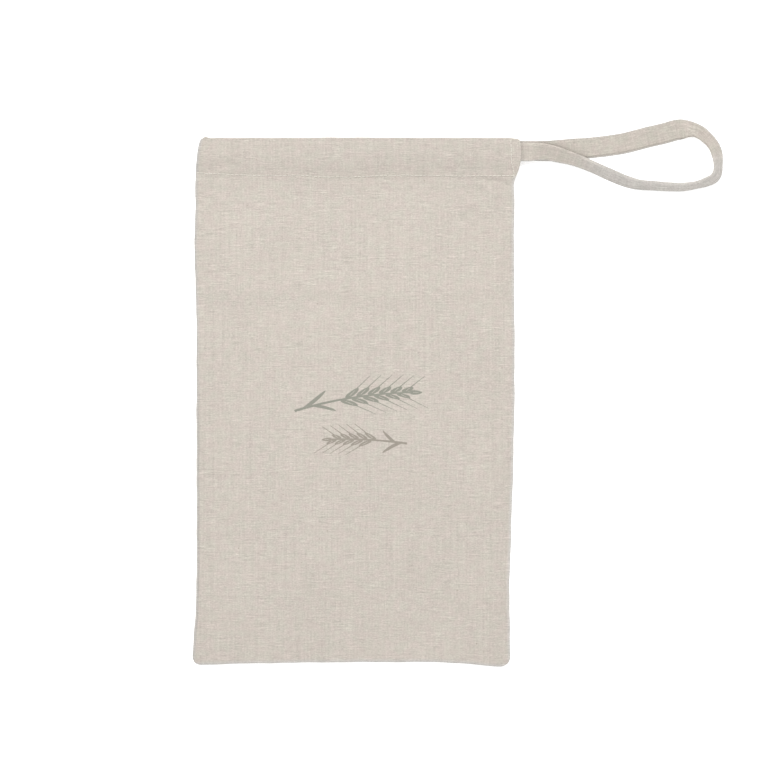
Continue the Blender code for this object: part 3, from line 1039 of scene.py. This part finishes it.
def grain(u, v, length, half_width):
    """1 inside a wheat grain that lies along u from 0 to its length."""
    t = (u / length).at_most(1.0).at_least(0.0)
    belly = (t * (1 - t) * 4.0).root() * (1.15 - t * 0.45) * half_width
    inked = (belly - abs(v)).between(*INK_EDGE) * ((u > 0.0) * (u < length))
    crease = (0.16 - abs(v)).between(-0.10, 0.10) * (t > 0.22) * (t < 0.72)
    return inked * (1 - crease)


def wheat_ear(u, v, grains, pitch):
    """1 on the grains and awns of an ear whose stalk is v = 0, from u = 0 on."""
    side = abs(v)
    slanted = u - side / math.tan(GRAIN_LEAN) - (v > 0.0) * (pitch / 2)
    number = (slanted / pitch).whole()
    across_grain = (slanted - (number + 0.5) * pitch) * math.sin(GRAIN_LEAN)
    along_grain = side / math.sin(GRAIN_LEAN) - 0.9
    counted = (number > -0.5) * (number < grains - 0.5)
    length = (1 - number * (0.42 / grains)) * (pitch * 1.32)
    ear = grain(along_grain, across_grain, length, pitch * math.sin(GRAIN_LEAN) * 0.45)
    beyond = along_grain - length
    awn = (0.36 - beyond * 0.012 - abs(across_grain)).between(*INK_EDGE)
    awn = awn * (beyond > -0.4) * (beyond < pitch * 1.7)
    tip = grain(u - pitch * (grains + 0.45), v, pitch * 1.1, pitch * 0.22)
    return ear.at_least(awn) * counted + tip


def stalk(u, v, start, end, half_width):
    """1 on a thin line along v = 0 from start to end, a little thicker at its foot."""
    thick = half_width + (end - u) * 0.004
    return (thick - abs(v)).between(*INK_EDGE) * (u > start) * (u < end)


def leaf(u, v, start, length, swing, half_width):
    """1 on a slender leaf that leaves the stalk at start and swings out to one side."""
    t = ((u - start) / length).at_most(1.0).at_least(0.0)
    spine = t**1.4 * swing
    belly = (t * (1 - t) * 4.0).root() * half_width
    inside = (u > start) * (u < start + length)
    return (belly - abs(v - spine)).between(*INK_EDGE) * inside


def sprig(x, y, place, angle, bow, ear_from, grains, pitch):
    """A stem of wheat, bent by bow, that starts at a place and leans at an angle."""
    c, s = math.cos(math.radians(angle)), math.sin(math.radians(angle))
    dx, dy = x - place[0], y - place[1]
    u = dx * c + dy * s
    v = dy * c - dx * s - u * u * bow
    stem = stalk(u, v, 0.0, ear_from + pitch * (grains + 0.8), 0.62)
    ear = wheat_ear(u - ear_from, v, grains, pitch)
    low_leaf = leaf(u, v, ear_from * 0.18, ear_from * 0.66, 9.5, 1.6)
    high_leaf = leaf(u, v, ear_from * 0.42, ear_from * 0.52, -8.0, 1.4)
    return (stem + ear + low_leaf + high_leaf).at_most(1.0)


def printed(shader, shown, colours, x, y, height, outside):
    """The cloth's colour with two stems of wheat stamped on it, one in each ink."""
    blur_x = shader.noise(x / 0.8, y / 0.8, 21.0) - 0.5
    blur_y = shader.noise(x / 0.8, y / 0.8, 27.0) - 0.5
    px, py = x + blur_x * 0.45, y + blur_y * 0.45
    upper = sprig(px, py, place=(-48.0, -8.0), angle=17.0, bow=-0.0015, ear_from=34.0, grains=6, pitch=9.0)
    lower = sprig(px, py, place=(42.0, -34.0), angle=172.0, bow=0.0014, ear_from=22.0, grains=5, pitch=7.0)
    wear = shader.noise(x / 3.1, y / 3.1, 33.0, detail=3.0, roughness=0.7)
    cover = (0.62 + height * 0.34) * (1 - wear.between(0.60, 0.78) * 0.30) * outside
    sage = shader.blend(upper * cover, shown, colours.first_ink)
    return shader.blend(lower * cover * (1 - upper), sage, colours.second_ink)


def linen_material(name, colour, scene, with_print=False):
    """Woven linen with painted shade and highlights along its edges and rows, and the print on it if asked.
    """
    colours = scene.bread_bag_colours
    shader = Shader(name)
    x, y, outside = shader.field("on_cloth")
    from_left, from_right, above_row = shader.field("from_seams")
    from_foot, from_top, _ = shader.field("from_ends")
    flecked, relief, height, shade = linen_shades(shader, colour, scene, x, y)
    inside = from_left.at_most(from_right - 3.0)
    body = above_row < -6.0
    turning = (1 - inside.between(13.2, 14.2)) * body
    casing = above_row.between(-0.6, 0.6)
    low = (1 - above_row.between(-200.0, -140.0)) * above_row.between(-385.0, -350.0)
    # Painted light and shade: the casing, the strip under its row of stitches, the turnings and the line
    # where a turning ends are painted darker; painted shadow lines run down the left edge, the left side of
    # the casing, the seam low on the left and the slit's edge at the mouth; a painted shadow line and a
    # painted highlight run along the top fold; the right edge and the foot get painted highlights
    tone = (
        1
        - casing * 0.043
        - above_row.near(-8.0, 9.0) * 0.009
        - turning * 0.010
        - inside.near(13.6, 0.7) * body * 0.025
        - from_left.near(1.0, 2.0) * (1 - low - casing * 0.4) * 0.085
        - from_left.near(1.8, 1.2) * low * 0.190
        - from_left.near(0.0, 7.0) * casing * 0.075
        - from_top.near(0.0, 1.8) * 0.090
        - from_top.near(1.2, 0.9) * 0.060
        + from_top.near(3.6, 0.9) * 0.035
        + from_right.near(0.0, 2.4) * 0.020
        + from_right.near(0.0, 4.0) * low * 0.040
        - from_right.near(0.0, 1.0) * casing * 0.120
        + from_foot.near(0.0, 2.0) * 0.030
    )
    shown = shader.lit(flecked, tone)
    if with_print:
        shown = printed(shader, shown, colours, x, y, height, outside)
    # Painted shade: within a few millimetres of the rims the cloth is blended towards the greyer edge colour
    from_rim = (from_right + casing * 9.0).at_most(from_left.at_most(from_foot))
    cast = (1 - from_rim.between(0.2, 3.6)) * (0.3 + from_rim.between(0.0, 0.5) * (0.36 + casing * 0.24))
    with_painted_shade = shader.blend(cast, shown, shader.lit(colours.edge, shade * tone))
    normal = shader.bump(relief + turning * 0.9, 0.00016, 0.8)
    constants = {"Sheen Weight": 0.12, "Sheen Roughness": 0.6, "Specular IOR Level": 0.25}
    return shader.finish(with_painted_shade, 0.95 - relief * 0.08, normal, constants)


def tape_material(name, scene):
    """Linen tape: threads along and across it, a dent where it is stitched, and painted shade and
    highlights.
    """
    cloth, colours = cloth_sizes(scene), scene.bread_bag_colours
    shader = Shader(name)
    x, y, _ = shader.field("on_cloth")
    painted_grey_shade, beside, rounded = shader.field("folds")
    flecked, relief, _, shade = linen_shades(shader, colours.tape, scene, y, x + 40.0)
    stripe = shader.noise(x / 1.1, y / 60.0, 41.0, detail=2.0)
    half = cloth.tape_width / 2
    # Painted shade in the stitching's groove: the tone darkens it while the bump dents it
    stitched = x.near(half - cloth.tape_row + 0.3, 0.9)
    # Painted light in the tone: painted shadow beside the resting run and at the mouth, painted highlights
    # on the rounded edges
    tone = stripe * 0.15 + 0.925 - stitched * 0.20 - beside * 0.27 + rounded * 0.13
    # Painted shade: the tape's rims and its folded run are blended towards the greyer edge colour
    painted_rim_shade = abs(x).between(half - 1.6, half) * 0.5
    greyer = shader.lit(colours.edge, shade * tone * 0.94)
    with_painted_shade = shader.blend((painted_grey_shade * 0.55).at_least(painted_rim_shade), shader.lit(flecked, tone), greyer)
    normal = shader.bump(relief + stripe * 0.4 - stitched * 0.5, 0.00018, 0.8)
    constants = {"Sheen Weight": 0.14, "Sheen Roughness": 0.5, "Specular IOR Level": 0.25}
    return shader.finish(with_painted_shade, 0.94 - relief * 0.08, normal, constants)


def thread_material(name, colour):
    """Spun thread: two plies twisted round each other."""
    shader = Shader(name)
    angle, along, number = shader.field("on_cloth")
    ply = (angle + along * 7.5).sine()
    tone = shader.noise(number * 1.7, along / 2.0, 2.0)
    spun = shader.lit(colour, 0.90 + ply * 0.05 + tone * 0.2)
    constants = {"Sheen Weight": 0.15, "Specular IOR Level": 0.35}
    return shader.finish(spun, 0.72 + ply * 0.06, shader.bump(ply, 0.00006, 0.7), constants)


def table_material(name, colour, glow):
    """A matt white light table with the faintest mottling."""
    shader = Shader(name)
    where = shader.node("ShaderNodeTexCoord", output="Object")
    mottle = shader.node("ShaderNodeTexNoise", inputs={"Vector": where, "Scale": 9.0, "Detail": 4.0})
    shade = shader.lit(colour, 0.99 + mottle * 0.015)
    constants = {"Specular IOR Level": 0.2, "Emission Color": colour, "Emission Strength": glow}
    return shader.finish(shade, 0.6 + mottle * 0.1, shader.bump(mottle, 0.0002, 0.2), constants)


# What a user would change


def a_length(name, description, default, low, high):
    """A length to set, whose default and limits are given in millimetres."""
    return FloatProperty(
        name=name,
        description=description,
        default=default * MM,
        min=low * MM,
        max=high * MM,
        precision=5,
        unit="LENGTH",
    )


def a_number(name, description, default, high, low=0.0, subtype="NONE"):
    """A number to set."""
    return FloatProperty(
        name=name, description=description, default=default, min=low, max=high, subtype=subtype
    )


def a_colour(name, description, *default):
    """A colour to set."""
    return FloatVectorProperty(
        name=name, description=description, default=default, min=0.0, max=1.0, subtype="COLOR"
    )


class BreadBagCloth(PropertyGroup):
    """Sizes of the cloth, the tape and the thread."""

    thickness: a_length("Cloth thickness", "How thick the linen is", 0.5, 0.2, 0.9)
    turning: a_length("Seam turning", "How far the cloth is turned in at the seams", 12.0, 4.0, 20.0)
    pitch: a_length("Thread pitch", "Distance from one thread of the weave to the next", 0.66, 0.3, 2.0)
    contrast: a_number("Thread contrast", "How much the threads differ in tone", 0.34, 1.0, subtype="FACTOR")
    tape_width: a_length("Tape width", "Width of the drawstring tape", 16.6, 8.0, 17.0)
    tape_thickness: a_length("Tape thickness", "Thickness of the folded tape", 1.1, 0.6, 1.2)
    tape_row: a_length("Tape row", "How far the tape's stitching lies from its edge", 1.5, 0.8, 4.0)
    stitch: a_length("Stitch length", "Length of one stitch", 3.3, 1.0, 5.0)
    stitch_gap: a_length("Stitch gap", "Gap from one stitch to the next", 0.2, 0.1, 3.0)
    thread: a_length("Thread radius", "Radius of the sewing thread", 0.3, 0.1, 0.4)


class BreadBagColours(PropertyGroup):
    """Colours of the linen, the thread and the two inks."""

    front: a_colour("Front linen", "Colour of the front panel", 0.485, 0.4425, 0.394)
    back: a_colour("Back linen", "Colour of the back panel", 0.481, 0.438, 0.390)
    tape: a_colour("Tape linen", "Colour of the drawstring tape", 0.446, 0.409, 0.362)
    warm: a_colour("Warm cast", "Colour that the linen drifts to in places", 0.489, 0.434, 0.380)
    # The edge cast is painted shade, blended in along the panels' rims and over the tape's rims and folded
    # run
    edge: a_colour("Edge cast", "Paler, greyer colour along the turned edges", 0.485, 0.472, 0.456)
    fleck: a_colour("Flecks", "Colour of the bits of husk in the yarn", 0.240, 0.200, 0.150)
    thread: a_colour("Thread", "Colour of the sewing thread", 0.69, 0.66, 0.592)
    first_ink: a_colour("First ink", "Sage ink of the larger stem", 0.190, 0.200, 0.165)
    second_ink: a_colour("Second ink", "Taupe ink of the smaller stem", 0.235, 0.210, 0.175)


class BreadBagStudio(PropertyGroup):
    """The table, the lamp, the camera and the seed."""

    table: a_colour("Table", "Colour of the table top", 0.95, 0.95, 0.95)
    sky: a_number("Sky", "Strength of the even light from all round", 0.8, 3.0)
    glow: a_number("Table glow", "Strength of the light that comes up through the table top", 0.45, 3.0)
    key: a_number("Key light", "Power of the large soft lamp beyond the mouth", 59.0, 500.0, subtype="POWER")
    view_width: a_length("View width", "Width of table that the camera sees", 614.4, 200.0, 3000.0)
    view_right: a_length("View right", "How far the view's middle lies right of the bag's", 23.6, -1e3, 1e3)
    view_up: a_length("View up", "How far the view's middle lies towards the bag's mouth", 13.6, -1e3, 1e3)
    lens: a_number("Lens", "Focal length of the camera", 120.0, 400.0, 20.0, "DISTANCE_CAMERA")
    seed: IntProperty(
        name="Seed", description="Start of the stitches' small irregularities", default=7, min=0
    )


class Sizes(NamedTuple):
    """Sizes of the cloth in millimetres, named as their properties are."""

    thickness: float
    turning: float
    tape_width: float
    tape_thickness: float
    tape_row: float
    stitch: float
    stitch_gap: float
    thread: float


def cloth_sizes(scene):
    """The cloth's sizes from the properties."""
    return Sizes(*(getattr(scene.bread_bag_cloth, name) / MM for name in Sizes._fields))


def panel_cut(cloth):
    """Width and length in metres of the cloth that a panel is cut from."""
    left, right = edges_at(0.0)
    length = TOP - foot_at(0.0) + CASING_DEPTH + cloth.turning
    return float(right - left + 2 * cloth.turning) * MM, float(length) * MM


# Operators

STITCH_LINE = 181.2
SLIT_ROW_START = 178.0
TABLE_HALF = 3.0
LAMP_PLACE = Vector((-0.20, 1.6, 2.4))
SENSOR = 36.0


def dress(piece, slot, *nodes):
    """Lets a piece ride with the bag and stand for its nodes."""
    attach(piece, BODY)
    if nodes:
        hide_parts(*nodes)


class BREADBAG_OT_panels(Operator):
    """Make the bag's front and back panels with their hems and seams"""

    bl_idname = "breadbag.panels"
    bl_label = "Panels"

    def execute(self, context):
        scene = context.scene
        cloth, colours = cloth_sizes(scene), scene.bread_bag_colours
        front_linen = linen_material("front linen", colours.front, scene, with_print=True)
        back_linen = linen_material("back linen", colours.back, scene)
        front = panel_object("front_cloth", 1, cloth, front_linen)
        back = panel_object("back_cloth", -1, cloth, back_linen)
        dress(front, "front_linen", "front_panel")
        dress(back, "back_linen", "back_panel")
        panel_cut(cloth)
        panel_cut(cloth)
        return {"FINISHED"}


class BREADBAG_OT_tape(Operator):
    """Make the drawstring tape, a ring through both casings"""

    bl_idname = "breadbag.tape"
    bl_label = "Drawstring tape"

    def execute(self, context):
        cloth = cloth_sizes(context.scene)
        ring, length = tape_object("tape", cloth, tape_material("tape linen", context.scene))
        dress(ring, "tape_linen", "drawstring_tape")
        return {"FINISHED"}


class BREADBAG_OT_stitches(Operator):
    """Make the rows of stitches on the casings, the slit and the tape"""

    bl_idname = "breadbag.stitches"
    bl_label = "Stitches"

    def execute(self, context):
        scene = context.scene
        cloth, colours = cloth_sizes(scene), scene.bread_bag_colours
        seed = scene.bread_bag_studio.seed
        spun = thread_material("sewing thread", colours.thread)
        left, right = edges_at(STITCH_LINE)
        casing_x = np.linspace(left + 0.5, right - 0.6, 400)
        slit_y = np.linspace(SLIT_ROW_START, TOP - 1.0, 120)
        lines = (("casing", casing_x, row_at(casing_x)), ("slit", slit_row_x(slit_y), slit_y))
        for side, facing in (("front", 1), ("back", -1)):
            for place, x, y in lines:
                line, normals = on_panel(x, y, cloth, facing)
                seed += 1
                row = stitch_row(f"{place}_stitches_{side}", line, normals, cloth, spun, seed)
                dress(row, f"{side}_linen")
        finer = cloth._replace(stitch=1.9, stitch_gap=0.5, thread=cloth.thread * 0.55)
        matched = thread_material("tape thread", colours.tape)
        half = cloth.tape_width / 2
        sections = loop_sections(cloth)
        for side, facing in (("upper", 1.0), ("lower", -1.0)):
            place = [(half - cloth.tape_row, facing * cloth.tape_thickness * 0.43)]
            line = [section.points(place, half)[0] for section in sections]
            normals = [section.outward(place, half)[0] * facing for section in sections]
            seed += 1
            row = stitch_row(f"tape_stitches_{side}", line, normals, finer, matched, seed)
            dress(row, "tape_linen")
        return {"FINISHED"}


class BREADBAG_OT_stage(Operator):
    """Make the table, the lamp and the camera above the bag"""

    bl_idname = "breadbag.stage"
    bl_label = "Stage"

    def execute(self, context):
        scene = context.scene
        studio = scene.bread_bag_studio
        top = bpy.data.meshes.new("table_top")
        corners = [(-1, -1), (1, -1), (1, 1), (-1, 1)]
        top.from_pydata([(x * TABLE_HALF, y * TABLE_HALF, 0.0) for x, y in corners], [], [(0, 1, 2, 3)])
        top.materials.append(table_material("table top", studio.table, studio.glow))
        floor = added("table_top", top)
        floor.location.z = CAD_BOX[0].z - 0.1 * MM

        world = bpy.data.worlds.new("soft sky")
        world.use_nodes = True
        sky = world.node_tree.nodes["Background"]
        sky.inputs["Color"].default_value = (1.0, 1.0, 1.0, 1.0)
        sky.inputs["Strength"].default_value = studio.sky
        scene.world = world
        scene.view_settings.view_transform = "Standard"
        scene.view_settings.look = "None"

        middle = Vector((studio.view_right, studio.view_up, 0.0))
        light = bpy.data.lights.new("key light", "AREA")
        light.size = 1.0
        light.energy = studio.key
        lamp = added("key light", light)
        lamp.location = LAMP_PLACE
        lamp.rotation_mode = "QUATERNION"
        lamp.rotation_quaternion = (middle - LAMP_PLACE).to_track_quat("-Z", "Y")

        lens = bpy.data.cameras.new("camera")
        lens.sensor_width = SENSOR
        lens.lens = studio.lens
        lens.clip_end = 20.0
        camera = added("camera", lens)
        distance = studio.view_width * studio.lens / SENSOR
        camera.location = middle + Vector((0.0, 0.0, distance + BODY_STACK * MM))
        scene.camera = camera
        return {"FINISHED"}


class BREADBAG_PT_sidebar(Panel):
    """Sizes, colours and pieces of the bread bag"""

    bl_idname = "BREADBAG_PT_sidebar"
    bl_label = "Bread bag"
    bl_space_type = "VIEW_3D"
    bl_region_type = "UI"
    bl_category = "Bread bag"

    def draw(self, context):
        for group, kind in SETTINGS.items():
            box = self.layout.box()
            for name in kind.__annotations__:
                box.prop(getattr(context.scene, group), name)
        for operator in OPERATORS:
            self.layout.operator(operator.bl_idname)


SETTINGS = {
    "bread_bag_cloth": BreadBagCloth,
    "bread_bag_colours": BreadBagColours,
    "bread_bag_studio": BreadBagStudio,
}
OPERATORS = (BREADBAG_OT_panels, BREADBAG_OT_tape, BREADBAG_OT_stitches, BREADBAG_OT_stage)
CLASSES = (*SETTINGS.values(), *OPERATORS, BREADBAG_PT_sidebar)


def register():
    """Adds the classes and the scene's settings."""
    for cls in CLASSES:
        bpy.utils.register_class(cls)
    for name, group in SETTINGS.items():
        setattr(bpy.types.Scene, name, PointerProperty(type=group))


def unregister():
    """Takes them away again."""
    for name in SETTINGS:
        delattr(bpy.types.Scene, name)
    for cls in reversed(CLASSES):
        bpy.utils.unregister_class(cls)


def main():
    """Builds the bag and its stage."""
    register()
    bpy.ops.breadbag.panels()
    bpy.ops.breadbag.tape()
    bpy.ops.breadbag.stitches()
    bpy.ops.breadbag.stage()


if __name__ == "__main__":
    main()
